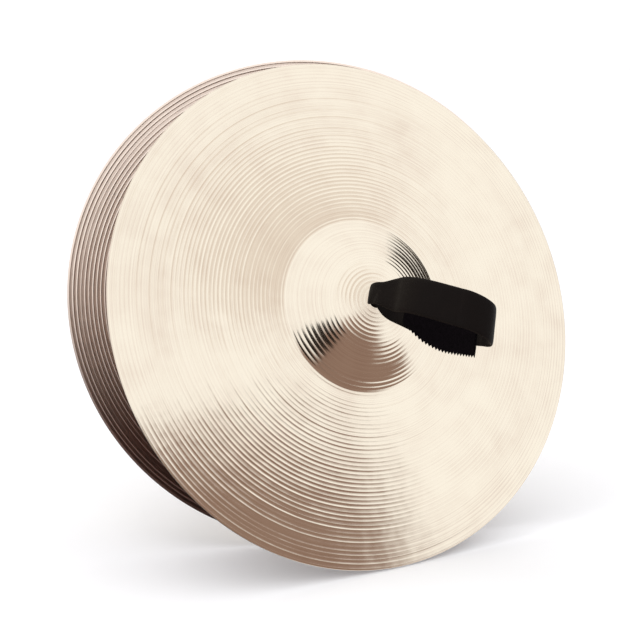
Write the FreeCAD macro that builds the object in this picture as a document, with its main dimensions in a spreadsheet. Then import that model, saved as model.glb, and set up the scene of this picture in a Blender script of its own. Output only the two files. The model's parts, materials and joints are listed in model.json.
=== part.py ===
import FreeCAD, Part
import math
import os
import re
import Sketcher
from FreeCAD import Placement, Rotation, Vector

# A pair of hand cymbals, opened like a book. Each cymbal is a thin bronze plate with a
# leather strap: the strap's split ends pass through the hole in the bell as four thongs and
# are tied inside in a crown knot. Everything of one cymbal is drawn in the cymbal's frame:
# origin on the crown of the bell, Z out along the cymbal's axis, Y up the hinge line.
SIZES = {
    "cymbal_diameter": 406.4,
    "cymbal_height": 38.0,
    "bell_diameter": 134.0,
    "bell_height": 20.5,
    "foot_radius": 8.0,
    "plate_thickness": 1.2,
    "hole_diameter": 11.5,
    "opening_angle": 16.9,
    "lean_angle": 22.8,
    "rim_gap": 0.5,
    "side_offset": 8.8,
    "thong_width": 8.5,
    "thong_thickness": 2.4,
    "weave_gap": 0.3,
    "weave_spacing": 3.0,
    "tail_length": 12.0,
    "knot_clearance": 0.5,
    "thong_clearance": 0.2,
    "thong_rise": 1.0,
    "pivot_height": 4.0,
    "neck_start": 6.6,
    "neck_length": 8.0,
    "neck_width": 20.0,
    "neck_curve": 30.0,
    "taper_length": 40.0,
    "strap_length": 112.0,
    "strap_width": 30.0,
    "strap_thickness": 2.4,
    "fold_radius": 18.0,
    "layer_gap": 0.4,
    "liner_thickness": 2.0,
    "liner_overhang": 4.0,
    "liner_gap": 0.2,
    "liner_start": 6.0,
    "liner_inset": 14.0,
    "strap_droop": 25.0,
    "strap_heading": -52.0,
    "strap_roll": 18.5,
}

doc = FreeCAD.newDocument("HandCymbals")
sheet = doc.addObject("Spreadsheet::Sheet", "Sizes")
for row, (name, value) in enumerate(SIZES.items(), start=1):
    sheet.set(f"A{row}", name)
    sheet.set(f"B{row}", str(value))
    sheet.setAlias(f"B{row}", name)
doc.recompute()


def bound(formula):
    """The formula with each size named as the sheet's cell."""
    return re.sub("[a-z_]+", lambda word: ("Sizes." if word[0] in SIZES else "") + word[0], formula)


def number(formula):
    """The value that a formula of sizes has now."""
    value = sheet.evalExpression(bound(formula))
    return float(getattr(value, "Value", value))


# Derived sizes, as formulas of the driving ones
CYMBAL_R = "(cymbal_diameter / 2)"
BELL_R = "(bell_diameter / 2)"
HOLE_R = "(hole_diameter / 2)"
BELL_SPHERE = f"(({BELL_R}^2 + bell_height^2) / (2 * bell_height))"
RIM_DROP = "(cymbal_height - plate_thickness)"
BOW_CENTRE = (
    f"(({CYMBAL_R}^2 - {BELL_R}^2 + {RIM_DROP}^2 - bell_height^2)"
    f" / (2 * ({RIM_DROP} - bell_height)))"
)
BOW_SPHERE = f"(sqrt({CYMBAL_R}^2 + ({BOW_CENTRE} - {RIM_DROP})^2))"

CELL_NEAR = "(weave_spacing / 2)"
CELL_FAR = f"({CELL_NEAR} + thong_width)"
PITCH = "(thong_thickness + weave_gap)"
FOLD_X = f"({CELL_FAR} + weave_gap)"
KNOT_REACH = f"({FOLD_X} + {PITCH} + thong_thickness / 2)"
KNOT_SAG = f"(({KNOT_REACH}^2 + {CELL_FAR}^2) / (2 * ({BELL_SPHERE} - plate_thickness)))"
KNOT_TOP = f"(plate_thickness + knot_clearance + {KNOT_SAG})"
STEM_NEAR = "(weave_gap / 2)"
STEM_FAR = f"(({HOLE_R} - thong_clearance) / sqrt(2))"

LAYER_X = "((strap_thickness + layer_gap) / 2)"
NECK_TOP = "(neck_start + neck_length)"
FOLD_CENTRE = "(strap_length - fold_radius)"
LINER_END = f"({FOLD_CENTRE} - {NECK_TOP} - liner_inset)"


class Outline:
    """A sketch on one of a body's origin planes, with every size bound to the sheet."""

    def __init__(self, body, plane, offset=None):
        self.sketch = body.newObject("Sketcher::SketchObject", "Sketch")
        planes = {item.Role: item for item in body.Origin.OriginFeatures}
        self.sketch.AttachmentSupport = [(planes[plane], "")]
        self.sketch.MapMode = "FlatFace"
        if offset:
            self.sketch.AttachmentOffset = Placement(Vector(0, 0, number(offset)), Rotation())
            self.sketch.setExpression("AttachmentOffset.Base.z", bound(offset))

    def size(self, kind, *where, formula):
        index = self.sketch.addConstraint(Sketcher.Constraint(kind, *where, number(formula)))
        self.sketch.setExpression(f"Constraints[{index}]", bound(formula))

    def tie(self, kind, *where):
        self.sketch.addConstraint(Sketcher.Constraint(kind, *where))

    def place(self, curve, end, x, y):
        """Holds one end of a curve at (x, y) from the sketch's origin."""
        for kind, formula in (("DistanceX", x), ("DistanceY", y)):
            if number(formula) < 0:
                self.size(kind, curve, end, -1, 1, formula=f"-({formula})")
            else:
                self.size(kind, -1, 1, curve, end, formula=formula)

    def line(self, start, finish):
        return self.sketch.addGeometry(
            Part.LineSegment(Vector(*start, 0), Vector(*finish, 0)), False
        )

    def arc(self, centre, radius, start, finish):
        """An arc about centre, counter-clockwise from angle start to angle finish."""
        circle = Part.Circle(Vector(*centre, 0), Vector(0, 0, 1), radius)
        return self.sketch.addGeometry(Part.ArcOfCircle(circle, start, finish), False)

    def polygon(self, corners):
        """A closed outline with straight sides, each corner a pair of formulas."""
        spots = [(number(x), number(y)) for x, y in corners]
        sides = [self.line(a, b) for a, b in zip(spots, spots[1:] + spots[:1])]
        for side, following in zip(sides, sides[1:] + sides[:1]):
            self.tie("Coincident", side, 2, following, 1)
        for side, (x, y) in zip(sides, corners):
            self.place(side, 1, x, y)
        return sides


def new_body(label):
    body = doc.addObject("PartDesign::Body", label)
    body.Label = label
    return body


def pad(body, outline, length, both_ways=False, reverse=False):
    feature = body.newObject("PartDesign::Pad", "Pad")
    feature.Profile = outline.sketch
    feature.setExpression("Length", bound(length))
    feature.Midplane = both_ways
    feature.Reversed = reverse
    outline.sketch.Visibility = False
    doc.recompute()
    return feature


def meet(depth_a, radius_a, depth_b, radius_b):
    """Where two circles centred on the sketch's vertical axis cross, on its right side."""
    y = (radius_a**2 - radius_b**2 - depth_a**2 + depth_b**2) / (2 * (depth_a - depth_b))
    return math.sqrt(radius_a**2 - (y + depth_a) ** 2), y


def cymbal_plate(label):
    """Thin bronze plate: a spherical bell on a gently crowned bow, with a rounded foot."""
    body = new_body(label)
    profile = Outline(body, "XZ_Plane")
    thickness = number("plate_thickness")
    bell, bow = number(BELL_SPHERE), number(BOW_SPHERE)
    bow_depth, foot = number(BOW_CENTRE), number("foot_radius")
    hole, rim = number(HOLE_R), number(CYMBAL_R)
    foot_x, foot_y = meet(bell, bell + foot, bow_depth, bow + foot)

    def surface(depth, radius, x):
        return x, math.sqrt(radius**2 - x**2) - depth

    def angle(x, y, centre=(0, 0)):
        return math.atan2(y - centre[1], x - centre[0])

    def skin(inset):
        """The bell, foot and bow arcs of the surface that lies inset below the outer one."""
        on_bell = angle(foot_x, foot_y, (0, -bell))
        on_bow = angle(foot_x, foot_y, (0, -bow_depth))
        hole_end = angle(*surface(bell, bell - inset, hole), (0, -bell))
        rim_end = angle(*surface(bow_depth, bow - inset, rim), (0, -bow_depth))
        return (
            profile.arc((0, -bell), bell - inset, on_bell, hole_end),
            profile.arc((foot_x, foot_y), foot + inset, on_bell + math.pi, on_bow + math.pi),
            profile.arc((0, -bow_depth), bow - inset, rim_end, on_bow),
        )

    outer, inner = skin(0), skin(thickness)
    hole_wall = profile.line(
        surface(bell, bell - thickness, hole), surface(bell, bell, hole)
    )
    rim_wall = profile.line(
        surface(bow_depth, bow, rim), surface(bow_depth, bow - thickness, rim)
    )
    for bell_arc, foot_arc, bow_arc in (outer, inner):
        profile.tie("Tangent", bell_arc, 1, foot_arc, 1)
        profile.tie("Tangent", foot_arc, 2, bow_arc, 2)
    profile.tie("Coincident", hole_wall, 1, inner[0], 2)
    profile.tie("Coincident", hole_wall, 2, outer[0], 2)
    profile.tie("Coincident", rim_wall, 1, outer[2], 1)
    profile.tie("Coincident", rim_wall, 2, inner[2], 1)
    profile.tie("Vertical", hole_wall)
    profile.tie("Vertical", rim_wall)
    profile.tie("PointOnObject", outer[0], 3, -2)
    profile.tie("PointOnObject", outer[2], 3, -2)
    profile.tie("Coincident", inner[0], 3, outer[0], 3)
    profile.tie("Coincident", inner[2], 3, outer[2], 3)
    profile.size("DistanceX", -1, 1, hole_wall, 1, formula=HOLE_R)
    profile.size("DistanceX", -1, 1, rim_wall, 1, formula=CYMBAL_R)
    profile.size("DistanceY", outer[0], 3, -1, 1, formula=BELL_SPHERE)
    profile.size("DistanceY", outer[2], 3, -1, 1, formula=BOW_CENTRE)
    profile.size("Radius", outer[0], formula=BELL_SPHERE)
    profile.size("Radius", inner[0], formula=f"{BELL_SPHERE} - plate_thickness")
    profile.size("Radius", outer[2], formula=BOW_SPHERE)
    profile.size("Radius", inner[2], formula=f"{BOW_SPHERE} - plate_thickness")
    profile.size("Radius", outer[1], formula="foot_radius")
    profile.size("Radius", inner[1], formula="foot_radius + plate_thickness")
    turn = body.newObject("PartDesign::Revolution", "Turn")
    turn.Profile = profile.sketch
    turn.ReferenceAxis = (profile.sketch, ["V_Axis"])
    turn.Angle = 360
    doc.recompute()
    return body


def thong(label):
    """One leather thong: up through a quarter of the hole, and one strand of the crown knot.

    Inside the bell it runs out flat, folds back under itself, crosses over one neighbour and
    under the next, and ends in a free tail.
    """
    body = new_body(label)
    ribbon = Outline(body, "XZ_Plane", CELL_NEAR)

    def layer(count, face):
        return f"-({KNOT_TOP} + {count} * {PITCH} + {face} * thong_thickness)"

    tail = f"({CELL_FAR} + tail_length)"
    corners = [
        (f"-{STEM_NEAR}", layer(0, 1)),
        (f"-{STEM_NEAR}", layer(0, 0)),
        (f"-{FOLD_X}", layer(0, 0)),
        (f"-{FOLD_X}", layer(2, 1)),
        (f"-{CELL_NEAR}", layer(2, 1)),
        (CELL_NEAR, layer(1, 1)),
        (tail, layer(1, 1)),
        (tail, layer(1, 0)),
        (CELL_NEAR, layer(1, 0)),
        (f"-{CELL_NEAR}", layer(2, 0)),
        (f"-{FOLD_X}", layer(2, 0)),
        (f"-{FOLD_X}", layer(0, 1)),
    ]
    spots = [(number(x), number(y)) for x, y in corners]
    sides = []
    for index, (start, finish) in enumerate(zip(spots, spots[1:] + spots[:1])):
        if index in (2, 10):
            centre = (start[0], (start[1] + finish[1]) / 2)
            radius = abs(start[1] - finish[1]) / 2
            sides.append(ribbon.arc(centre, radius, math.pi / 2, 3 * math.pi / 2))
        else:
            sides.append(ribbon.line(start, finish))
    outer_fold, inner_fold = sides[2], sides[10]
    for index, side in enumerate(sides):
        following = sides[(index + 1) % len(sides)]
        side_end = 1 if side == inner_fold else 2
        next_start = 2 if following == inner_fold else 1
        ribbon.tie("Coincident", side, side_end, following, next_start)
    for index, (x, y) in enumerate(corners):
        ribbon.place(sides[index], 2 if sides[index] == inner_fold else 1, x, y)
    for fold in (outer_fold, inner_fold):
        ribbon.size("DistanceX", fold, 3, -1, 1, formula=FOLD_X)
    pad(body, ribbon, "thong_width")

    stem = Outline(body, "XY_Plane", f"-{KNOT_TOP}")
    near, far = f"-{STEM_NEAR}", f"-{STEM_FAR}"
    stem.polygon([(near, near), (far, near), (far, far), (near, far)])
    pad(body, stem, f"{KNOT_TOP} + thong_rise")
    return body


def flank_angle():
    """The lean of the strap's straight flank from the strap's own axis, in degrees."""
    across = number(f"{LAYER_X} + neck_curve")
    along = number(f"{FOLD_CENTRE} - {NECK_TOP}")
    radii = number("neck_curve + fold_radius")
    turn = math.asin(radii / math.hypot(across, along)) - math.atan2(across, along)
    return math.degrees(turn)


def flank_start():
    """Where the straight flank leaves the neck's curve, from the strap's pivot."""
    turn, curve = math.radians(flank_angle()), number("neck_curve")
    x = number(LAYER_X) + curve * (1 - math.cos(turn))
    return x, number(NECK_TOP) + curve * math.sin(turn)


def flank_length():
    turn, fold = math.radians(flank_angle()), number("fold_radius")
    x, y = flank_start()
    return math.hypot(fold * math.cos(turn) - x, number(FOLD_CENTRE) - fold * math.sin(turn) - y)


def tapered_width(start, taper):
    """Corners of the two cuts that narrow a band of strap_width towards the neck."""
    half = "(strap_width / 2)"
    return [
        [(f"{sign}neck_width / 2", start), (f"{sign}{half}", taper),
         (f"{sign}strap_width", taper), (f"{sign}strap_width", start)]
        for sign in ("", "-")
    ]


def hand_strap(label):
    """Leather hand strap: two flanks that meet at the neck, joined by the round fold.

    Its frame has Z along the strap from the pivot, X through the loop and Y across the band.
    """
    body = new_body(label)
    path = Outline(body, "XZ_Plane")
    turn = math.radians(flank_angle())
    neck_x, neck_y = number(LAYER_X), number("neck_start")
    curve, fold = number("neck_curve"), number("fold_radius")
    fold_y = number(FOLD_CENTRE)
    start, length = flank_start(), flank_length()
    finish = (start[0] + length * math.sin(turn), start[1] + length * math.cos(turn))
    neck = path.line((neck_x, neck_y), (neck_x, number(NECK_TOP)))
    bend = path.arc((neck_x + curve, number(NECK_TOP)), curve, math.pi - turn, math.pi)
    flank = path.line(start, finish)
    round_fold = path.arc((0, fold_y), fold, -turn, math.pi / 2)
    path.tie("Vertical", neck)
    path.tie("Tangent", neck, 2, bend, 2)
    path.tie("Tangent", bend, 1, flank, 1)
    path.tie("Tangent", flank, 2, round_fold, 1)
    path.tie("PointOnObject", round_fold, 3, -2)
    path.tie("PointOnObject", round_fold, 2, -2)
    path.place(neck, 1, LAYER_X, "neck_start")
    path.size("DistanceY", -1, 1, neck, 2, formula=NECK_TOP)
    path.size("Radius", bend, formula="neck_curve")
    path.size("Radius", round_fold, formula="fold_radius")
    path.size("DistanceY", -1, 1, round_fold, 3, formula=FOLD_CENTRE)

    section = Outline(body, "XY_Plane", "neck_start")
    inner, outer = f"({LAYER_X} - strap_thickness / 2)", f"({LAYER_X} + strap_thickness / 2)"
    section.polygon([
        (inner, "-strap_width / 2"), (outer, "-strap_width / 2"),
        (outer, "strap_width / 2"), (inner, "strap_width / 2"),
    ])
    band = body.newObject("PartDesign::AdditivePipe", "Band")
    band.Profile = section.sketch
    band.Spine = (path.sketch, [])
    doc.recompute()
    mirror = body.newObject("PartDesign::Mirrored", "OtherFlank")
    mirror.Originals = [band]
    mirror.MirrorPlane = (section.sketch, ["V_Axis"])
    body.Tip = mirror
    doc.recompute()
    narrow(body, "neck_start", "taper_length")
    return body


def narrow(body, start, taper):
    """Cuts a band down to the neck's width over the stretch from start to taper."""
    before = body.Shape.Volume
    for corners in tapered_width(start, taper):
        outline = Outline(body, "YZ_Plane")
        outline.polygon(corners)
        cut = body.newObject("PartDesign::Pocket", "Taper")
        cut.Profile = outline.sketch
        cut.Type = 1
        cut.Midplane = True
        body.Tip = cut
        doc.recompute()
    assert body.Shape.Volume < before - 1, body.Label + " was not narrowed"


def strap_liner(label):
    """Liner inside one flank of the strap, a little wider than the band, with a plain outline."""
    body = new_body(label)
    outline = Outline(body, "YZ_Plane")
    half = "(strap_width / 2 + liner_overhang)"
    start, shoulder = "liner_start", "(taper_length - neck_start)"
    outline.polygon([
        ("-neck_width / 2", start), ("neck_width / 2", start), (half, shoulder),
        (half, LINER_END), (f"-{half}", LINER_END), (f"-{half}", shoulder),
    ])
    pad(body, outline, "liner_thickness", reverse=True)
    return body


def frame(x_axis, y_axis, z_axis, origin):
    """A placement with the three axes and the origin given."""
    matrix = FreeCAD.Matrix(
        x_axis.x, y_axis.x, z_axis.x, origin.x,
        x_axis.y, y_axis.y, z_axis.y, origin.y,
        x_axis.z, y_axis.z, z_axis.z, origin.z,
        0, 0, 0, 1,
    )
    return Placement(matrix)


def cymbal_frames():
    """Places both cymbals: hinge line, mean plane, opening, and rims on one level."""
    half = math.radians(number("opening_angle") / 2)
    lean = math.radians(number("lean_angle"))
    up = Vector(0, math.sin(lean), math.cos(lean))
    forward = Vector(0, -math.cos(lean), math.sin(lean))
    right = up.cross(forward)
    radius, side, gap = number(CYMBAL_R), number("side_offset"), number("rim_gap")
    slip = ((2 * radius + side) * math.sin(half) + gap * math.cos(half)) * math.tan(lean)
    places = []
    for sign, reach in ((1, radius), (-1, radius + side)):
        axis = (forward * math.cos(half) * sign + right * math.sin(half)).normalize()
        inward = right * math.cos(half) - forward * math.sin(half) * sign
        rim_centre = inward * -reach + axis * (gap / 2) - up * (sign * slip / 2)
        crown = rim_centre + axis * number("cymbal_height")
        places.append(frame(up.cross(axis), up, axis, crown))
    return places


def turned(axis, degrees):
    return Placement(Vector(0, 0, 0), Rotation(axis, degrees))


def strap_frame():
    """The strap's frame in the cymbal's: it swivels and droops about its pivot."""
    lift = Placement(Vector(0, 0, number("pivot_height")), Rotation())
    swivel = turned(Vector(0, 0, 1), number("strap_heading"))
    droop = turned(Vector(0, 1, 0), number("strap_droop"))
    return lift * swivel * droop * turned(Vector(0, 0, 1), number("strap_roll"))


def liner_frame():
    """The liner's frame in the strap's: on the inner face of one flank."""
    turn = math.radians(flank_angle())
    inward = Vector(-math.cos(turn), 0, math.sin(turn))
    x, y = flank_start()
    seat = Vector(x, 0, y) + inward * number("strap_thickness / 2 + liner_gap")
    return Placement(seat, Rotation(Vector(0, 1, 0), flank_angle()))


def build_cymbal(side, place):
    parts = [(cymbal_plate(f"{side}_cymbal"), place)]
    for quarter in range(4):
        turn = turned(Vector(0, 0, 1), number("strap_heading") + 90 * quarter)
        parts.append((thong(f"{side}_thong_{quarter + 1}"), place * turn))
    strap = place * strap_frame()
    parts.append((hand_strap(f"{side}_hand_strap"), strap))
    parts.append((strap_liner(f"{side}_strap_liner"), strap * liner_frame()))
    for body, spot in parts:
        body.Placement = spot
    return [body for body, spot in parts]


def check(bodies):
    doc.recompute()
    for item in doc.Objects:
        assert not {"Invalid", "Error"} & set(item.State), item.Name + " failed"
    for body in bodies:
        shape = body.Shape
        assert not shape.isNull() and shape.isValid() and len(shape.Solids) == 1, body.Label


front, rear = cymbal_frames()
to_origin = Placement(front.Base * -1, Rotation())
bodies = build_cymbal("front", to_origin * front) + build_cymbal("rear", to_origin * rear)
check(bodies)
os.makedirs("parts", exist_ok=True)
for body in bodies:
    body.Shape.exportStep(f"parts/{body.Label}.step")
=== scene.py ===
import json
import math

import bmesh
import bpy
from bpy.props import FloatProperty, FloatVectorProperty, IntProperty, PointerProperty
from mathutils import Matrix, Vector


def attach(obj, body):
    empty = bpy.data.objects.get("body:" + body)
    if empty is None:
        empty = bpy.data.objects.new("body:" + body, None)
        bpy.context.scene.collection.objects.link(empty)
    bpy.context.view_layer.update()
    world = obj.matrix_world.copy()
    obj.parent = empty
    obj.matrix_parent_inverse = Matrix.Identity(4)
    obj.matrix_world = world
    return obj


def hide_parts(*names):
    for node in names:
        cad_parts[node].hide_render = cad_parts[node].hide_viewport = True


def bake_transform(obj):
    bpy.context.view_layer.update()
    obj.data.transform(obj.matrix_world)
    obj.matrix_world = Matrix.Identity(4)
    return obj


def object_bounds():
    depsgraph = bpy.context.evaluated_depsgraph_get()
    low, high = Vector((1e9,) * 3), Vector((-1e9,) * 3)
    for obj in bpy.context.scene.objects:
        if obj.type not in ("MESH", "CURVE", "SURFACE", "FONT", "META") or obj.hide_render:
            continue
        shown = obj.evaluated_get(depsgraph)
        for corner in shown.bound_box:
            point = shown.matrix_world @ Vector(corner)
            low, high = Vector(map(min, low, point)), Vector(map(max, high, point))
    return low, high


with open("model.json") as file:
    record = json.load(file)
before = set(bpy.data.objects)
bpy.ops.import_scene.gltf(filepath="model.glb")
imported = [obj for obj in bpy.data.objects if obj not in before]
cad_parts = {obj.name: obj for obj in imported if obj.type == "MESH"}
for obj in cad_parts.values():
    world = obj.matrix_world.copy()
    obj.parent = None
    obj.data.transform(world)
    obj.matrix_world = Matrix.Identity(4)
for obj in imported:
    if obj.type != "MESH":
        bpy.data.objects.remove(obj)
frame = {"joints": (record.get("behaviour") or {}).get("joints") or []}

bl_info = {
    "name": "Hand Cymbals",
    "version": (1, 0, 0),
    "blender": (4, 5, 0),
    "location": "3D View > Sidebar > Cymbals",
    "description": "Builds a pair of lathed bronze hand cymbals with leather hand straps",
    "category": "Add Mesh",
}

CAD_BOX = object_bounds()
JOINTS = {joint["name"]: joint for joint in frame["joints"]}
SIDES = ("front", "rear")
FULL_TURN = 2 * math.pi
OWN_MAP = "Own"


# ---------------------------------------------------------------- places

def axes(x, y, z, origin):
    """The matrix that takes a piece's own axes to the row frame."""
    place = Matrix((x, y, z)).transposed().to_4x4()
    place.translation = origin
    return place


def plate_frame(side):
    """Origin on the crown of the bell, Z out along the cymbal's axis, Y up the hinge line."""
    swivel = JOINTS[f"{side}_strap_swivel"]
    up = -Vector(JOINTS["clash_hinge"]["axis"]).normalized()
    out = Vector(swivel["axis"]).normalized()
    return axes(up.cross(out), up, out, Vector(swivel["pos_m"]))


def droop_axle(side):
    """The line that the strap droops about."""
    return Vector(JOINTS[f"{side}_strap_droop"]["axis"]).normalized()


def strap_frame(side, leather):
    """Origin on the strap's pivot, Z along the strap, X through the loop, Y across the band."""
    axle = droop_axle(side)
    out = Vector(JOINTS[f"{side}_strap_swivel"]["axis"]).normalized()
    along = Matrix.Rotation(leather.droop, 3, axle) @ out
    across = Matrix.Rotation(leather.roll, 3, along) @ axle
    pivot = Vector(JOINTS[f"{side}_strap_droop"]["pos_m"])
    return axes(across.cross(along), across, along, pivot)


# ---------------------------------------------------------------- sizes and colours

def length(name, description, default):
    return FloatProperty(name=name, description=description, default=default,
                         unit="LENGTH", subtype="DISTANCE", precision=5)


def angle(name, description, degrees):
    return FloatProperty(name=name, description=description,
                         default=math.radians(degrees), unit="ROTATION", subtype="ANGLE")


def ratio(name, description, default):
    return FloatProperty(name=name, description=description, default=default)


def colour(name, description, default):
    return FloatVectorProperty(name=name, description=description, default=default,
                               size=3, min=0, max=1, subtype="COLOR")


class CymbalSizes(bpy.types.PropertyGroup):
    diameter: length("Diameter", "Across the rim", 0.4064)
    height: length("Height", "From the rim's underside to the crown", 0.038)
    bell_diameter: length("Bell diameter", "Across the foot of the bell", 0.134)
    bell_height: length("Bell height", "From the foot to the crown", 0.0205)
    foot_radius: length("Foot radius", "Rounding where the bell meets the bow", 0.008)
    thickness: length("Thickness", "Of the bronze plate", 0.0012)
    hole: length("Hole diameter", "The hole that the strap passes through", 0.0115)
    rim_round: length("Rim rounding", "Radius along the rim's edges", 0.0004)
    groove_pitch: length("Groove pitch", "From one lathe groove to the next", 0.0032)
    groove_depth: length("Groove depth", "Of one lathe groove", 0.00006)
    groove_change: ratio("Groove change", "Share by which one groove's depth differs", 0.45)
    bell_cut: ratio("Bell cut", "Extra depth of the grooves on the bell, as a share", 1.3)
    turns: IntProperty(name="Steps round", description="Steps of the turned shape",
                       default=192, min=24)
    bright: colour("Bright bronze", "Freshly lathed bronze", (0.865, 0.790, 0.665))
    # The darker bronze of the random clouds and streaks, also painted into the grooves as shade.
    deep_tone_and_groove_shade: colour("Deep bronze", "Bronze in the grooves", (0.70, 0.585, 0.485))
    inner: colour("Inner bronze", "Duller bronze inside the bowl", (0.90, 0.77, 0.68))
    # Painted shade: the dark brown given to the inside of the bowl low down, where the two plates
    # close together.
    painted_shade: colour("Painted shade", "Bronze low inside the bowl", (0.17, 0.105, 0.09))


class StrapSizes(bpy.types.PropertyGroup):
    length: length("Length", "From the pivot to the end of the loop", 0.1115)
    width: length("Width", "Of the band", 0.0291)
    thickness: length("Thickness", "Of the leather", 0.0024)
    hole_width: length("Width in the hole", "Of the band where it passes the plate", 0.0075)
    neck_width: length("Neck width", "Of the band beside the bell", 0.0170)
    neck_drop: length("Neck drop", "The neck's step to its lower edge", 0.0016)
    foot_depth: length("Foot depth", "From the pivot down to the band's ends", 0.0072)
    neck_start: length("Neck start", "From the pivot to the narrow neck", 0.0066)
    neck_length: length("Neck length", "Of the straight neck", 0.008)
    neck_curve: length("Neck curve", "Radius where the flanks part", 0.030)
    taper_end: length("Taper end", "From the pivot to the full width", 0.036)
    fold_radius: length("Fold radius", "At the end of the loop", 0.016)
    layer_gap: length("Layer gap", "Between the two layers at the neck", 0.0004)
    droop: angle("Droop", "The strap's lean from the cymbal's axis", 25)
    roll: angle("Roll", "The band's turn about the strap's own line", 15.7)
    twist: angle("Twist", "The band's turn from the neck to the fold", 7.7)
    skew: ratio("Skew", "How far one edge runs ahead of the other, over the width", 0.38)
    bulge: length("Bulge", "How far the flanks bow outwards", 0.0125)
    shoulder: length("Shoulder", "How far the gathered neck stands out", 0.0078)
    liner_width: length("Liner width", "Of the pinked liner", 0.0385)
    liner_thickness: length("Liner thickness", "Of the pinked liner", 0.002)
    liner_gap: length("Liner gap", "Between the liner and the leather", 0.0002)
    liner_inset: length("Liner inset", "From the liner's end to the fold", 0.006)
    liner_drop: length("Liner drop", "The liner's step past the leather's lower edge", 0.0045)
    tooth: length("Tooth", "From one pinked tooth to the next", 0.003)
    tooth_height: length("Tooth height", "Of a tooth on either side of the edge", 0.0010)
    leather: colour("Leather", "Smooth black leather", (0.0045, 0.0026, 0.0021))
    worn: colour("Worn leather", "Leather where it is rubbed", (0.011, 0.0070, 0.0058))
    felt: colour("Liner", "Dark felt of the liner", (0.0022, 0.0014, 0.0020))


class ThongSizes(bpy.types.PropertyGroup):
    width: length("Width", "Of one thong", 0.0085)
    thickness: length("Thickness", "Of the leather", 0.0024)
    gap: length("Gap", "Between two layers of the knot", 0.0003)
    spacing: length("Spacing", "Between two thongs side by side", 0.003)
    clearance: length("Clearance", "Between the knot and the bronze", 0.0005)
    tail: length("Tail", "The free end past the knot", 0.012)
    bend: length("Bend", "Along each bend of the crossing strand", 0.0012)


class StudioSizes(bpy.types.PropertyGroup):
    azimuth: angle("Azimuth", "The camera's way round the pair", -19.25)
    elevation: angle("Elevation", "The camera's height over the level", 13.17)
    distance: length("Distance", "From the camera to the middle of the pair", 1.150)
    aside: length("Aside", "The camera's step to its right", -0.0151)
    above: length("Above", "The camera's step up its own picture", -0.0109)
    lens: FloatProperty(name="Lens", description="Focal length in millimetres",
                        default=80.97, min=1)
    floor: colour("Floor", "Pale floor", (0.93, 0.93, 0.95))


# ---------------------------------------------------------------- shader maths

class Value:
    """A node's output that takes part in sums."""

    def __init__(self, graph, socket):
        self.graph, self.socket = graph, socket

    def _sum(self, operation, first, second):
        return self.graph.math(operation, first, second)

    def __add__(self, other):
        return self._sum("ADD", self, other)

    def __radd__(self, other):
        return self._sum("ADD", other, self)

    def __sub__(self, other):
        return self._sum("SUBTRACT", self, other)

    def __rsub__(self, other):
        return self._sum("SUBTRACT", other, self)

    def __mul__(self, other):
        return self._sum("MULTIPLY", self, other)

    def __rmul__(self, other):
        return self._sum("MULTIPLY", other, self)

    def __truediv__(self, other):
        return self._sum("DIVIDE", self, other)


class Graph:
    """The nodes of one material or world."""

    def __init__(self, tree):
        self.tree = tree
        tree.nodes.clear()

    def node(self, kind, settings=None, inputs=None, output=0):
        """One node: its settings first, then the values or links of its sockets."""
        made = self.tree.nodes.new(kind)
        for name, value in (settings or {}).items():
            setattr(made, name, value)
        for name, value in (inputs or {}).items():
            if isinstance(value, Value):
                self.tree.links.new(value.socket, made.inputs[name])
            else:
                made.inputs[name].default_value = value
        return Value(self, made.outputs[output]) if made.outputs else None

    def place(self):
        """Object coordinates, which are the row frame in metres."""
        return self.node("ShaderNodeTexCoord", output="Object")

    def own_second(self):
        """The second number of the piece's own map: a plate's radius, a band's width."""
        own = self.node("ShaderNodeUVMap", {"uv_map": OWN_MAP})
        return self.node("ShaderNodeSeparateXYZ", {}, {0: own}, "Y")

    def math(self, operation, first, second=0.0):
        return self.node("ShaderNodeMath", {"operation": operation}, {0: first, 1: second})

    def grain(self, where, scale, detail, roughness=0.5):
        """Soft spots, scale of them to a metre."""
        return self.node("ShaderNodeTexNoise", {},
                         {"Vector": where, "Scale": scale, "Detail": detail,
                          "Roughness": roughness}, "Fac")

    def lines(self, along, scale, detail):
        """Bands across one number, as a lathe leaves them."""
        return self.node("ShaderNodeTexNoise", {"noise_dimensions": "1D"},
                         {"W": along, "Scale": scale, "Detail": detail}, "Fac")

    def step(self, value, low, high):
        """From 0 at low to 1 at high, with no corner at either."""
        return self.node("ShaderNodeMapRange", {"interpolation_type": "SMOOTHSTEP"},
                         {"Value": value, "From Min": low, "From Max": high})

    def blend(self, share, first, second):
        """A colour between two colours."""
        first, second = (tint if isinstance(tint, Value) else (*tint, 1)
                         for tint in (first, second))
        factor, colour_a, colour_b, colour_out = 0, 6, 7, 2
        return self.node("ShaderNodeMix", {"data_type": "RGBA"},
                         {factor: share, colour_a: first, colour_b: second}, colour_out)

    def bump(self, height):
        """The normal of a surface raised by a height in metres."""
        return self.node("ShaderNodeBump", {}, {"Distance": 1.0, "Height": height}, "Normal")

    def surface(self, inputs):
        shader = self.node("ShaderNodeBsdfPrincipled", {}, inputs)
        self.node("ShaderNodeOutputMaterial", {}, {"Surface": shader})


def new_material(name):
    material = bpy.data.materials.new(name)
    material.use_nodes = True
    return material, Graph(material.node_tree)


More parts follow.
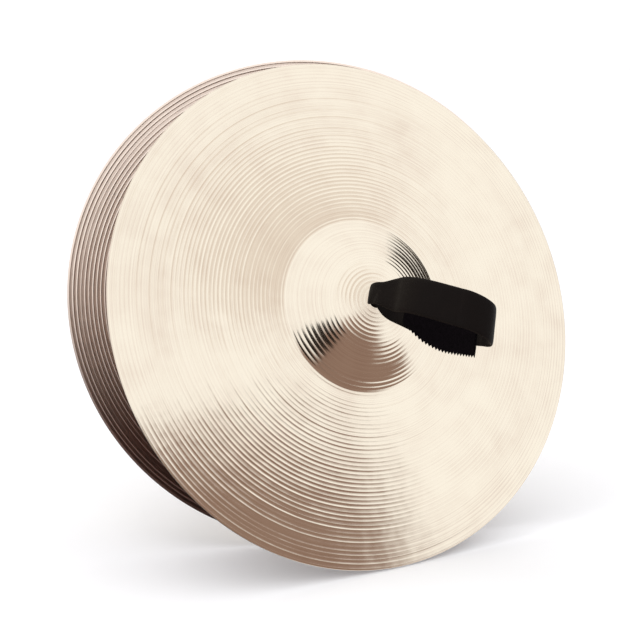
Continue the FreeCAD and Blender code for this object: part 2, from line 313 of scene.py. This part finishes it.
def bronze_finish(sizes):
    """Lathed bronze: rings by the piece's own radius, hammering by its place, and painted shade
    low inside the bowl.
    """
    material, graph = new_material("LathedBronze")
    place = graph.place()
    radius = graph.own_second()
    fine = graph.lines(radius, 900.0, 1.0)
    hair = graph.lines(radius, 3600.0, 1.0)
    uneven = graph.lines(radius, 190.0, 2.0)
    hammer = graph.grain(place, 70.0, 1.0)
    dents = graph.grain(place, 26.0, 1.0)
    cloud = graph.grain(place, 14.0, 3.0)
    streak = graph.grain(place, 45.0, 2.0)
    inside = graph.math("LESS_THAN", radius, 0.0)

    # A ridge stands at each whole pitch from the axis, as in the turned shape.
    turned = radius / sizes.groove_pitch
    from_ridge = graph.math("ABSOLUTE", 2 * graph.math("FRACT", turned) - 1)
    ridge = from_ridge * from_ridge * from_ridge * from_ridge

    # Heights in metres.
    ridge_low, ridge_spread, inside_gain = 0.00001, 0.00009, 6
    fine_height, hair_height = 0.000012, 0.0000025
    hammer_height, dent_height = 0.00015, 0.00032
    height = (ridge * (uneven * ridge_spread - ridge_low) * (1 + inside * inside_gain)
              + fine * fine_height + hair * hair_height
              + hammer * hammer_height + dents * dent_height)

    # The tone is mostly clouds and streaks, with a little of the lines; the grooves between the
    # ridges are also painted a little darker, as painted shade in the grooves.
    tone = graph.step((1 - ridge) * 0.10 + fine * 0.30 + cloud * 0.32 + streak * 0.28,
                      0.42, 0.86)
    # Painted shade: inside the bowl the bronze darkens towards the bottom of the row frame, where
    # the wedge between the plates closes.
    shade_free_level, shade_full_level = 0.03, -0.13
    level = graph.node("ShaderNodeSeparateXYZ", {}, {0: place}, "Z")
    inner_and_painted_shade = graph.blend(graph.step(level, shade_free_level, shade_full_level),
                       sizes.inner, sizes.painted_shade)

    # The crown beside the hole is left unpolished.
    raw_from, raw_full = 0.026, 0.012
    raw = graph.step(graph.math("ABSOLUTE", radius), raw_from, raw_full)
    graph.surface({
        "Base Color": graph.blend(inside, graph.blend(tone, sizes.bright, sizes.deep_tone_and_groove_shade), inner_and_painted_shade),
        "Metallic": 1.0,
        "Roughness": 0.065 + cloud * 0.06 + fine * 0.04 + raw * 0.14 + inside * 0.21,
        "Normal": graph.bump(height),
    })
    return material


def leather_finish(sizes):
    """Smooth dark leather with fine pores, rubbed lighter along its edges."""
    material, graph = new_material("StrapLeather")
    place = graph.place()
    across = graph.own_second()
    pores = graph.grain(place, 1500.0, 2.0)
    creases = graph.node("ShaderNodeTexVoronoi", {"feature": "DISTANCE_TO_EDGE"},
                         {"Vector": place, "Scale": 900.0}, "Distance")
    cloud = graph.grain(place, 60.0, 4.0)
    edge = graph.step(graph.math("ABSOLUTE", across), sizes.width * 0.45, sizes.width * 0.5)
    wear = graph.step(edge * 0.35 + cloud * 0.6, 0.30, 0.80)
    pore_height, crease_height, cloud_height = 0.00003, 0.00004, 0.00012
    height = pores * pore_height + creases * crease_height + cloud * cloud_height
    graph.surface({
        "Base Color": graph.blend(wear, sizes.leather, sizes.worn),
        "Roughness": 0.46 + cloud * 0.16,
        "Specular IOR Level": 0.06,
        "Normal": graph.bump(height),
    })
    return material


def felt_finish(sizes):
    """Matt felt of short tangled fibres."""
    material, graph = new_material("LinerFelt")
    place = graph.place()
    fibre = graph.grain(place, 1800.0, 3.0, 0.7)
    tuft = graph.grain(place, 380.0, 2.0)
    fibre_gain, fibre_height, tuft_height = 2.6, 0.00012, 0.0002
    lighter = tuple(fibre_gain * part for part in sizes.felt)
    graph.surface({
        "Base Color": graph.blend(graph.step(fibre * 0.6 + tuft * 0.4, 0.35, 0.7),
                                  sizes.felt, lighter),
        "Roughness": 0.95,
        "Specular IOR Level": 0.05,
        "Normal": graph.bump(fibre * fibre_height + tuft * tuft_height),
    })
    return material


# ---------------------------------------------------------------- turned plates

def crossing(first, first_radius, second, second_radius):
    """Radius and height where two circles, centred on the axis at two depths, cross."""
    z = ((first_radius**2 - second_radius**2 - first**2 + second**2)
         / (2 * (first - second)))
    return math.sqrt(first_radius**2 - (z + first) ** 2), z


class PlateProfile:
    """The bell, foot and bow arcs of one skin of the plate, inset from the outer one."""

    def __init__(self, sizes, inset):
        rim, bell = sizes.diameter / 2, sizes.bell_diameter / 2
        drop = sizes.height - sizes.thickness
        self.bell_radius = (bell**2 + sizes.bell_height**2) / (2 * sizes.bell_height)
        self.bow_depth = ((rim**2 - bell**2 + drop**2 - sizes.bell_height**2)
                          / (2 * (drop - sizes.bell_height)))
        self.bow_radius = math.hypot(rim, self.bow_depth - drop)
        foot = sizes.foot_radius
        self.foot_centre = crossing(self.bell_radius, self.bell_radius + foot,
                                    self.bow_depth, self.bow_radius + foot)
        self.inset = inset
        self.bell_end = math.atan2(self.foot_centre[0], self.foot_centre[1] + self.bell_radius)
        self.bow_start = math.atan2(self.foot_centre[0], self.foot_centre[1] + self.bow_depth)
        self.hole_angle = math.asin(sizes.hole / 2 / (self.bell_radius - inset))
        self.rim_angle = math.asin(rim / (self.bow_radius - inset))

    def arcs(self):
        """(centre on the XZ plane, angle turned) of each arc from the hole to the rim."""
        return (
            ((0, -self.bell_radius), self.bell_end - self.hole_angle),
            (self.foot_centre, self.bow_start - self.bell_end),
            ((0, -self.bow_depth), self.rim_angle - self.bow_start),
        )

    def start(self):
        reach = self.bell_radius - self.inset
        return Vector((reach * math.sin(self.hole_angle), 0,
                       reach * math.cos(self.hole_angle) - self.bell_radius))


def turns_of(start, centre, turn, spacing):
    """The turns of one arc, each ending on a whole number of spacings from the axis.

    The foot's arc, the only one centred off the axis, is turned in even steps.
    """
    reach = (start - centre).length
    if centre.x:
        foot_steps = 5
        return [turn / foot_steps] * foot_steps
    begin = math.atan2(start.x, start.z - centre.z)
    end = begin + turn
    least = 0.35
    first = math.floor(start.x / spacing + least) + 1
    last = math.ceil(reach * math.sin(end) / spacing - least)
    stops = [begin, *(math.asin(k * spacing / reach) for k in range(first, last)), end]
    return [b - a for a, b in zip(stops, stops[1:])]


def sweep_chain(bm, start, arcs, spacing):
    """A chain of edges through the arcs, and its vertices in order."""
    chain = [bm.verts.new(start)]
    for (x, z), turn in arcs:
        centre = Vector((x, 0, z))
        for part in turns_of(chain[-1].co.copy(), centre, turn, spacing):
            made = bmesh.ops.extrude_vert_indiv(bm, verts=[chain[-1]])["verts"]
            bmesh.ops.rotate(bm, verts=made, cent=centre,
                             matrix=Matrix.Rotation(part, 3, "Y"))
            chain.append(made[0])
    return chain


def cut_grooves(chain, sizes):
    """Lowers the chain between the ridges, which stand at whole pitches from the axis."""
    change_rate = 2.4
    moves = []
    for before, here, after in zip(chain, chain[1:], chain[2:]):
        along = after.co - before.co
        inwards = Vector((along.z, 0, -along.x)).normalized()
        from_axis = here.co.x / sizes.groove_pitch
        ridge = math.floor(from_axis)
        share = 1 - abs(2 * (from_axis - ridge) - 1) ** 3
        share *= (1 + sizes.groove_change * math.sin(ridge * change_rate)
                  + (sizes.bell_cut if here.co.x < sizes.bell_diameter / 2 else 0))
        moves.append((here, inwards * sizes.groove_depth * share))
    for vertex, move in moves:
        vertex.co += move


def turned_plate(name, sizes, place):
    """One cymbal: both skins as one closed outline, spun about the axis.

    Its own map holds the turn about the axis and the radius, below zero on the inside.
    """
    bm = bmesh.new()
    outer, inner = PlateProfile(sizes, 0.0), PlateProfile(sizes, sizes.thickness)
    upper = sweep_chain(bm, outer.start(), outer.arcs(), sizes.groove_pitch / 4)
    lower = sweep_chain(bm, inner.start(), inner.arcs(), sizes.groove_pitch / 2)
    cut_grooves(upper, sizes)
    for ends in ((upper[0], lower[0]), (upper[-1], lower[-1])):
        bm.edges.new(ends)
    bmesh.ops.spin(bm, geom=bm.verts[:] + bm.edges[:], cent=(0, 0, 0), axis=(0, 0, 1),
                   angle=FULL_TURN, steps=sizes.turns, use_merge=True)
    bmesh.ops.remove_doubles(bm, verts=bm.verts, dist=1e-6)
    bmesh.ops.recalc_face_normals(bm, faces=bm.faces)
    least_corner = math.radians(50)
    sharp = [edge for edge in bm.edges
             if edge.is_manifold and edge.calc_face_angle() > least_corner]
    bmesh.ops.bevel(bm, geom=sharp, offset=sizes.rim_round, offset_type="OFFSET",
                    segments=3, profile=0.5, affect="EDGES", material=-1)
    own = bm.loops.layers.uv.new(OWN_MAP)
    for face in bm.faces:
        face.smooth = True
        middle = face.calc_center_median()
        base = math.atan2(middle.y, middle.x) / FULL_TURN
        side = 1 if face.normal.z > 0 else -1
        for loop in face.loops:
            turn = math.atan2(loop.vert.co.y, loop.vert.co.x) / FULL_TURN
            turn += round(base - turn)
            loop[own].uv = (turn, side * loop.vert.co.xy.length)
    return finish_mesh(bm, name, place)


def finish_mesh(bm, name, place):
    """Puts a piece's shape in its place and makes its object, which sits at the origin."""
    bmesh.ops.transform(bm, matrix=place, verts=bm.verts)
    mesh = bpy.data.meshes.new(name)
    bm.to_mesh(mesh)
    bm.free()
    made = bpy.data.objects.new(name, mesh)
    bpy.context.scene.collection.objects.link(made)
    return made


def dress(piece, material, slot, node, body=None):
    """Gives a piece its finish, hides the node it stands for, shows it in mirror images only if
    its slot is bronze, and puts it under any single body.
    """
    piece.data.materials.append(material)
    piece.visible_glossy = slot == "bronze"
    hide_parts(node)
    if body:
        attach(piece, body)


# ---------------------------------------------------------------- leather bands

class Band:
    """A leather band laid along a line in the XZ plane, with its width along Y."""

    def __init__(self, width, thickness, across):
        self.bm = bmesh.new()
        self.along = self.bm.verts.layers.float.new("along")
        self.aside = self.bm.verts.layers.float.new("aside")
        self.run, self.heading, self.spot = 0.0, 0.0, Vector((0, 0, 0))
        upper, lower = [], []
        squareness = 9
        for step in range(across + 1):
            share = -math.cos(math.pi * step / across)
            rise = thickness / 2 * math.sqrt(1 - abs(share) ** squareness)
            upper.append((share * width / 2, rise))
            lower.append((share * width / 2, -rise))
        outline = upper + lower[-2:0:-1]
        ring = [self.bm.verts.new((x, y, 0)) for y, x in outline]
        for vertex in ring:
            vertex[self.aside] = vertex.co.y
        self.edges = [self.bm.edges.new(pair) for pair in zip(ring, ring[1:] + ring[:1])]
        self.first = self.edges[:]

    def start_at(self, x, z):
        self.spot = Vector((x, 0, z))
        verts = list({v for e in self.edges for v in e.verts})
        bmesh.ops.translate(self.bm, vec=self.spot, verts=verts)

    def go(self, distance, turn=0.0, spacing=0.0015):
        """Extrudes the band over a distance while it turns by an angle about Y."""
        steps = max(1, round(distance / spacing))
        for _ in range(steps):
            made = bmesh.ops.extrude_edge_only(self.bm, edges=self.edges)["geom"]
            ring = [item for item in made if isinstance(item, bmesh.types.BMVert)]
            self.edges = [item for item in made if isinstance(item, bmesh.types.BMEdge)
                          and all(v in ring for v in item.verts)]
            half = turn / steps / 2
            self.heading += half
            move = Vector((math.sin(self.heading), 0, math.cos(self.heading))) * distance / steps
            self.heading += half
            self.spot = self.spot + move
            bmesh.ops.translate(self.bm, vec=move, verts=ring)
            bmesh.ops.rotate(self.bm, cent=self.spot, verts=ring,
                             matrix=Matrix.Rotation(turn / steps, 3, "Y"))
            self.run += distance / steps
            for vertex in ring:
                vertex[self.along] = self.run

    def close(self):
        """Caps both ends and writes the piece's own map: along the band, across the band."""
        for edges in (self.first, self.edges):
            bmesh.ops.holes_fill(self.bm, edges=edges, sides=0)
        bmesh.ops.recalc_face_normals(self.bm, faces=self.bm.faces)
        own = self.bm.loops.layers.uv.new(OWN_MAP)
        for face in self.bm.faces:
            face.smooth = True
            for loop in face.loops:
                loop[own].uv = (loop.vert[self.along], loop.vert[self.aside])
        return self.bm


def ease(value, low, high):
    """From 0 below low to 1 above high, with no corner at either."""
    share = min(1.0, max(0.0, (value - low) / (high - low)))
    return share * share * (3 - 2 * share)


# Heights from the strap's pivot. Each pair is where a change starts and where it is whole.
NECK_WIDENS = (-0.0042, 0.0010)
NECK_STANDS_OUT = (-0.004, 0.002)
NECK_FALLS_BACK = (0.008, 0.034)
SKEW_STARTS = (-0.004, 0.003)
TAPER_START = 0.004
FOOT_BENDS_FROM = -0.002
FOOT_BEND_PAST_NECK = 0.004
LINER_DROPS = (0.030, 0.060)


def flank_lean(sizes, layer):
    """The lean of the straight flank from the strap's own line."""
    along = sizes.length - sizes.fold_radius - sizes.neck_start - sizes.neck_length
    across = layer + sizes.neck_curve
    return (math.asin((sizes.neck_curve + sizes.fold_radius) / math.hypot(across, along))
            - math.atan2(across, along))


def flank_start(sizes):
    """The flank's lean, and where on the XZ plane its straight stretch starts."""
    layer = (sizes.thickness + sizes.layer_gap) / 2
    lean = flank_lean(sizes, layer)
    return (lean, layer + sizes.neck_curve * (1 - math.cos(lean)),
            sizes.neck_start + sizes.neck_length + sizes.neck_curve * math.sin(lean))


def loop_shape(bm, sizes, lean_axis, flank=0):
    """Bows, twists and skews a laid loop, or the one flank named, and leads its foot back.

    The strap's own line leans from the cymbal's axis by the droop, about lean_axis, and
    the foot is turned back by as much, so that it goes straight into the hole.
    """
    fold = sizes.length - sizes.fold_radius
    for vertex in bm.verts:
        x, y, z = vertex.co
        stand = (sizes.bulge * math.sin(math.pi * min(1, max(0, z / fold)))
                 + sizes.shoulder * ease(z, *NECK_STANDS_OUT) * (1 - ease(z, *NECK_FALLS_BACK)))
        x += math.copysign(stand, flank or x)
        turn = sizes.twist * ease(z, 0.0, fold)
        vertex.co = (x * math.cos(turn) - y * math.sin(turn),
                     x * math.sin(turn) + y * math.cos(turn),
                     z - sizes.skew * y * ease(z, *SKEW_STARTS))
    straight = sizes.neck_start + FOOT_BEND_PAST_NECK
    for vertex in bm.verts:
        share = 1 - ease(vertex.co.z, FOOT_BENDS_FROM, straight)
        if share > 0:
            vertex.co = Matrix.Rotation(-sizes.droop * share, 3, lean_axis) @ vertex.co


def strap_loop(name, sizes, place, droop_axis):
    """The hand strap: up one flank, round the fold and down the other, to the hole."""
    layer = (sizes.thickness + sizes.layer_gap) / 2
    lean, x, z = flank_start(sizes)
    neck = sizes.neck_start + sizes.neck_length + sizes.foot_depth
    flank = math.hypot(
        sizes.fold_radius * math.cos(lean) - x,
        sizes.length - sizes.fold_radius - sizes.fold_radius * math.sin(lean) - z)
    half_turn = math.pi + 2 * lean
    band = Band(sizes.width, sizes.thickness, 20)
    band.start_at(-layer, -sizes.foot_depth)
    for distance, turn in ((neck, 0), (sizes.neck_curve * lean, -lean), (flank, 0),
                           (sizes.fold_radius * half_turn, half_turn),
                           (flank, 0), (sizes.neck_curve * lean, -lean), (neck, 0)):
        band.go(distance, turn)
    bm = band.close()
    neck_share, hole_share = sizes.neck_width / sizes.width, sizes.hole_width / sizes.width
    for vertex in bm.verts:
        out = ease(vertex.co.z, *NECK_WIDENS)
        grow = ease(vertex.co.z, TAPER_START, sizes.taper_end)
        share = hole_share + (neck_share - hole_share) * out
        vertex.co.y *= share + (1 - share) * grow
        vertex.co.y -= sizes.neck_drop * out * (1 - grow)
    loop_shape(bm, sizes, place.to_3x3().inverted() @ droop_axis)
    return finish_mesh(bm, name, place)


def liner_strip(name, sizes, place, droop_axis):
    """The liner inside one flank: a flat strip with pinked edges, laid against the leather."""
    lean, x, z = flank_start(sizes)
    inner = sizes.thickness / 2 + sizes.liner_thickness / 2 + sizes.liner_gap
    end = sizes.length - sizes.fold_radius - sizes.liner_inset
    band = Band(sizes.liner_width, sizes.liner_thickness, 12)
    band.heading = lean
    band.start_at(x - inner, z)
    band.go((end - z) / math.cos(lean), 0, sizes.tooth / 2)
    bm = band.close()
    narrow, before_taper, past_taper, teeth_from = 0.55, 0.004, 0.006, 0.86
    for vertex in bm.verts:
        height = vertex.co.z
        side = abs(vertex.co.y) / (sizes.liner_width / 2)
        grow = ease(height, z - before_taper, sizes.taper_end + past_taper)
        point = round(vertex[band.along] / (sizes.tooth / 2)) % 2
        tooth = (sizes.tooth_height if point else -sizes.tooth_height) * ease(side, teeth_from, 1)
        y = (narrow + (1 - narrow) * grow) * vertex.co.y
        vertex.co.y = (y + tooth * math.copysign(1, y)
                       - sizes.liner_drop * ease(height, *LINER_DROPS))
    loop_shape(bm, sizes, place.to_3x3().inverted() @ droop_axis, flank=1)
    return finish_mesh(bm, name, place)


def knot_thong(name, sizes, cymbal, place, droop_axis, quarter):
    """One thong of the crown knot: down a quarter of the hole, out, back under and across."""
    near, pitch = sizes.spacing / 2, sizes.thickness + sizes.gap
    far = near + sizes.width
    fold_x = far + sizes.gap
    hollow_radius = PlateProfile(cymbal, cymbal.thickness).bell_radius - cymbal.thickness
    reach = fold_x + pitch + sizes.thickness / 2
    top = cymbal.thickness + sizes.clearance + (reach**2 + far**2) / (2 * hollow_radius)
    rise = math.atan2(pitch, 2 * near)
    slope = math.hypot(pitch, 2 * near) - sizes.bend
    band = Band(sizes.width, sizes.thickness, 10)
    band.heading = -math.pi / 2
    bmesh.ops.rotate(band.bm, verts=band.bm.verts, cent=(0, 0, 0),
                     matrix=Matrix.Rotation(band.heading, 3, "Y"))
    band.start_at(-sizes.gap / 2, -(top + sizes.thickness / 2))
    for distance, turn, spacing in (
            (fold_x - sizes.gap / 2, 0, 0.0015),
            (math.pi * pitch, -math.pi, 0.0008),
            (fold_x - near, 0, 0.0015),
            (sizes.bend, -rise, 0.0004),
            (slope, 0, 0.0006),
            (sizes.bend, rise, 0.0004),
            (sizes.width + sizes.tail - sizes.bend, 0, 0.0015)):
        band.go(distance, turn, spacing)
    bm = band.close()
    bmesh.ops.translate(bm, verts=bm.verts, vec=(0, -near - sizes.width / 2, 0))
    axle = place.to_3x3().inverted() @ droop_axis
    heading = math.atan2(-axle.x, axle.y)
    bmesh.ops.rotate(bm, verts=bm.verts, cent=(0, 0, 0),
                     matrix=Matrix.Rotation(heading + quarter * math.pi / 2, 3, "Z"))
    return finish_mesh(bm, name, place)


# ---------------------------------------------------------------- operators

class CYMBALS_OT_plates(bpy.types.Operator):
    """Turn both cymbals in lathed bronze"""

    bl_idname = "cymbals.plates"
    bl_label = "Cymbals"

    def execute(self, context):
        sizes = context.scene.cymbal_sizes
        finish = bronze_finish(sizes)
        for side in SIDES:
            plate = turned_plate(f"{side}_lathed_cymbal", sizes, plate_frame(side))
            dress(plate, finish, "bronze", f"{side}_cymbal", f"{side}_plate")
        return {"FINISHED"}


class CYMBALS_OT_straps(bpy.types.Operator):
    """Lay both leather hand straps"""

    bl_idname = "cymbals.straps"
    bl_label = "Hand straps"

    def execute(self, context):
        sizes = context.scene.strap_sizes
        finish = leather_finish(sizes)
        still_height, drooping_height = 0.002, 0.014
        for side in SIDES:
            place = strap_frame(side, sizes)
            strap = strap_loop(f"{side}_leather_strap", sizes, place, droop_axle(side))
            dress(strap, finish, "strap_leather", f"{side}_hand_strap")
            plate_frame(side) @ Vector((0, 0, still_height))
            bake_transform(strap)
        return {"FINISHED"}


class CYMBALS_OT_liners(bpy.types.Operator):
    """Lay the pinked liner inside each strap"""

    bl_idname = "cymbals.liners"
    bl_label = "Strap liners"

    def execute(self, context):
        sizes = context.scene.strap_sizes
        finish = felt_finish(sizes)
        for side in SIDES:
            liner = liner_strip(f"{side}_pinked_liner", sizes, strap_frame(side, sizes),
                                droop_axle(side))
            dress(liner, finish, "strap_liner", f"{side}_strap_liner", f"{side}_strap")
        return {"FINISHED"}


class CYMBALS_OT_knots(bpy.types.Operator):
    """Tie the four thongs of each crown knot inside the bells"""

    bl_idname = "cymbals.knots"
    bl_label = "Crown knots"

    def execute(self, context):
        scene = context.scene
        finish = bpy.data.materials["StrapLeather"]
        for side in SIDES:
            for quarter in range(4):
                thong = knot_thong(f"{side}_knot_thong_{quarter + 1}", scene.thong_sizes,
                                   scene.cymbal_sizes, plate_frame(side), droop_axle(side),
                                   quarter)
                dress(thong, finish, "thong_leather", f"{side}_thong_{quarter + 1}",
                      f"{side}_knot")
        return {"FINISHED"}


def way_to(azimuth, elevation):
    """The direction at an azimuth round from the front and an elevation over the level."""
    return Vector((math.sin(azimuth) * math.cos(elevation),
                   -math.cos(azimuth) * math.cos(elevation), math.sin(elevation)))


# What the bronze mirrors: patches of a darker room in a white surround. Each is azimuth,
# elevation, half width, half height, all in degrees, and how softly its edge fades.
ROOM_LOW, ROOM_DARK, ROOM_GREY, ROOM_UNDER = (
    (0.28, 0.19, 0.155), (0.02, 0.015, 0.012), (0.80, 0.74, 0.70), (0.02, 0.013, 0.012))
PATCHES = (
    (ROOM_LOW, (9, -2, 30, 19.5, 0.35), (22, -24, 42, 17, 0.22)),
    (ROOM_DARK, (-9, 6, 11, 12, 0.35), (98, 14, 11, 24, 0.30)),
    (ROOM_GREY, (37, 35, 12, 9, 0.60), (200, 35, 14, 9, 0.60)),
    (ROOM_LOW, (189, -2, 30, 19.5, 0.35), (202, -24, 42, 17, 0.22)),
    (ROOM_DARK, (171, 6, 11, 12, 0.35)),
    (ROOM_UNDER, (270, -45, 55, 42, 0.50)),
)


def surround(world):
    """The light all round: white to the camera, with the patches in the mirror images."""
    world.use_nodes = True
    graph = Graph(world.node_tree)
    way = graph.node("ShaderNodeTexCoord", output="Generated")
    white = (1.0, 1.0, 1.0)
    behind, in_front = 0.0, 0.1

    def part(axis):
        return graph.node("ShaderNodeVectorMath", {"operation": "DOT_PRODUCT"},
                          {0: way, 1: axis}, "Value")

    def patch(azimuth, elevation, half_wide, half_high, soft):
        azimuth = math.radians(azimuth)
        ahead = way_to(azimuth, math.radians(elevation))
        aside = Vector((math.cos(azimuth), math.sin(azimuth), 0))
        wide = part(aside) / math.sin(math.radians(half_wide))
        high = part(ahead.cross(aside)) / math.sin(math.radians(half_high))
        return (graph.step(wide * wide + high * high, 1 + soft, 1 - soft)
                * graph.step(part(ahead), behind, in_front))

    tint = white
    for shade, first, *others in PATCHES:
        mask = patch(*first)
        for other in others:
            mask = graph.math("MAXIMUM", mask, patch(*other))
        tint = graph.blend(mask, tint, shade)
    seen = graph.node("ShaderNodeLightPath", output="Is Camera Ray")
    tint = graph.blend(seen, tint, white)
    backing = graph.node("ShaderNodeBackground", {}, {"Color": tint, "Strength": 1.12})
    graph.node("ShaderNodeOutputWorld", {}, {"Surface": backing})


# Place from the middle of the pair, side and power in watts of each lamp.
LAMPS = {
    "key_softbox": ((-0.8, 0.3, 1.7), 1.0, 7.0),
    "fill_softbox": ((1.2, -1.2, 1.3), 1.4, 1.5),
}


class CYMBALS_OT_stage(bpy.types.Operator):
    """Set the pale floor, soft lights and camera"""

    bl_idname = "cymbals.stage"
    bl_label = "Stage"

    def execute(self, context):
        scene = context.scene
        studio = scene.studio_sizes
        self.lay_floor(studio)
        self.set_camera(scene, studio)
        self.set_lamps(scene)
        scene.world = bpy.data.worlds.new("Studio")
        surround(scene.world)
        scene.view_settings.view_transform = "Standard"
        return {"FINISHED"}

    def lay_floor(self, studio):
        reach, clearance = 6.0, 0.0002
        bm = bmesh.new()
        bmesh.ops.create_grid(bm, x_segments=8, y_segments=8, size=reach)
        bmesh.ops.translate(bm, verts=bm.verts, vec=(0, 0, CAD_BOX[0].z - clearance))
        floor = finish_mesh(bm, "pale_floor", Matrix.Identity(4))
        material, graph = new_material("PaleFloor")
        speck = graph.grain(graph.place(), 30.0, 2.0)
        darker = tuple(0.985 * part for part in studio.floor)
        graph.surface({
            "Base Color": graph.blend(speck, studio.floor, darker),
            "Roughness": 0.9,
            "Emission Color": (1, 1, 1, 1),
            "Emission Strength": 0.05,
        })
        floor.data.materials.append(material)
        floor.visible_glossy = False

    def set_camera(self, scene, studio):
        back = way_to(studio.azimuth, studio.elevation)
        aside = Vector((math.cos(studio.azimuth), math.sin(studio.azimuth), 0))
        rims = [plate_frame(side) @ Vector((0, 0, -scene.cymbal_sizes.height))
                for side in SIDES]
        camera = bpy.data.objects.new("studio_camera", bpy.data.cameras.new("studio_camera"))
        scene.collection.objects.link(camera)
        camera.location = ((rims[0] + rims[1]) / 2 + back * studio.distance
                           + aside * studio.aside + back.cross(aside) * studio.above)
        camera.rotation_euler = back.to_track_quat("Z", "Y").to_euler()
        camera.data.lens, camera.data.sensor_width = studio.lens, 36.0
        camera.data.clip_start, camera.data.clip_end = 0.05, 50.0
        scene.camera = camera

    def set_lamps(self, scene):
        centre = (CAD_BOX[0] + CAD_BOX[1]) / 2
        for name, (spot, size, power) in LAMPS.items():
            lamp = bpy.data.lights.new(name, "AREA")
            lamp.shape, lamp.size, lamp.energy = "SQUARE", size, power
            holder = bpy.data.objects.new(name, lamp)
            scene.collection.objects.link(holder)
            holder.location = centre + Vector(spot)
            holder.rotation_euler = Vector(spot).to_track_quat("Z", "Y").to_euler()
            holder.visible_glossy = False


class CYMBALS_PT_panel(bpy.types.Panel):
    """The pieces of the pair, in the order they are made"""

    bl_label = "Hand Cymbals"
    bl_idname = "CYMBALS_PT_panel"
    bl_space_type = "VIEW_3D"
    bl_region_type = "UI"
    bl_category = "Cymbals"

    def draw(self, context):
        for group in GROUPS:
            settings = getattr(context.scene, group)
            for name in settings.__annotations__:
                self.layout.prop(settings, name)
        for operator in OPERATORS:
            self.layout.operator(operator.bl_idname)


GROUPS = {"cymbal_sizes": CymbalSizes, "strap_sizes": StrapSizes, "thong_sizes": ThongSizes,
          "studio_sizes": StudioSizes}
OPERATORS = (CYMBALS_OT_plates, CYMBALS_OT_straps, CYMBALS_OT_liners, CYMBALS_OT_knots,
             CYMBALS_OT_stage)


def register():
    for item in (*GROUPS.values(), *OPERATORS, CYMBALS_PT_panel):
        bpy.utils.register_class(item)
    for name, group in GROUPS.items():
        setattr(bpy.types.Scene, name, PointerProperty(type=group))


def unregister():
    for name in GROUPS:
        delattr(bpy.types.Scene, name)
    for item in reversed((*GROUPS.values(), *OPERATORS, CYMBALS_PT_panel)):
        bpy.utils.unregister_class(item)


def main():
    register()
    bpy.ops.cymbals.plates()
    bpy.ops.cymbals.straps()
    bpy.ops.cymbals.liners()
    bpy.ops.cymbals.knots()
    bpy.ops.cymbals.stage()


if __name__ == "__main__":
    main()
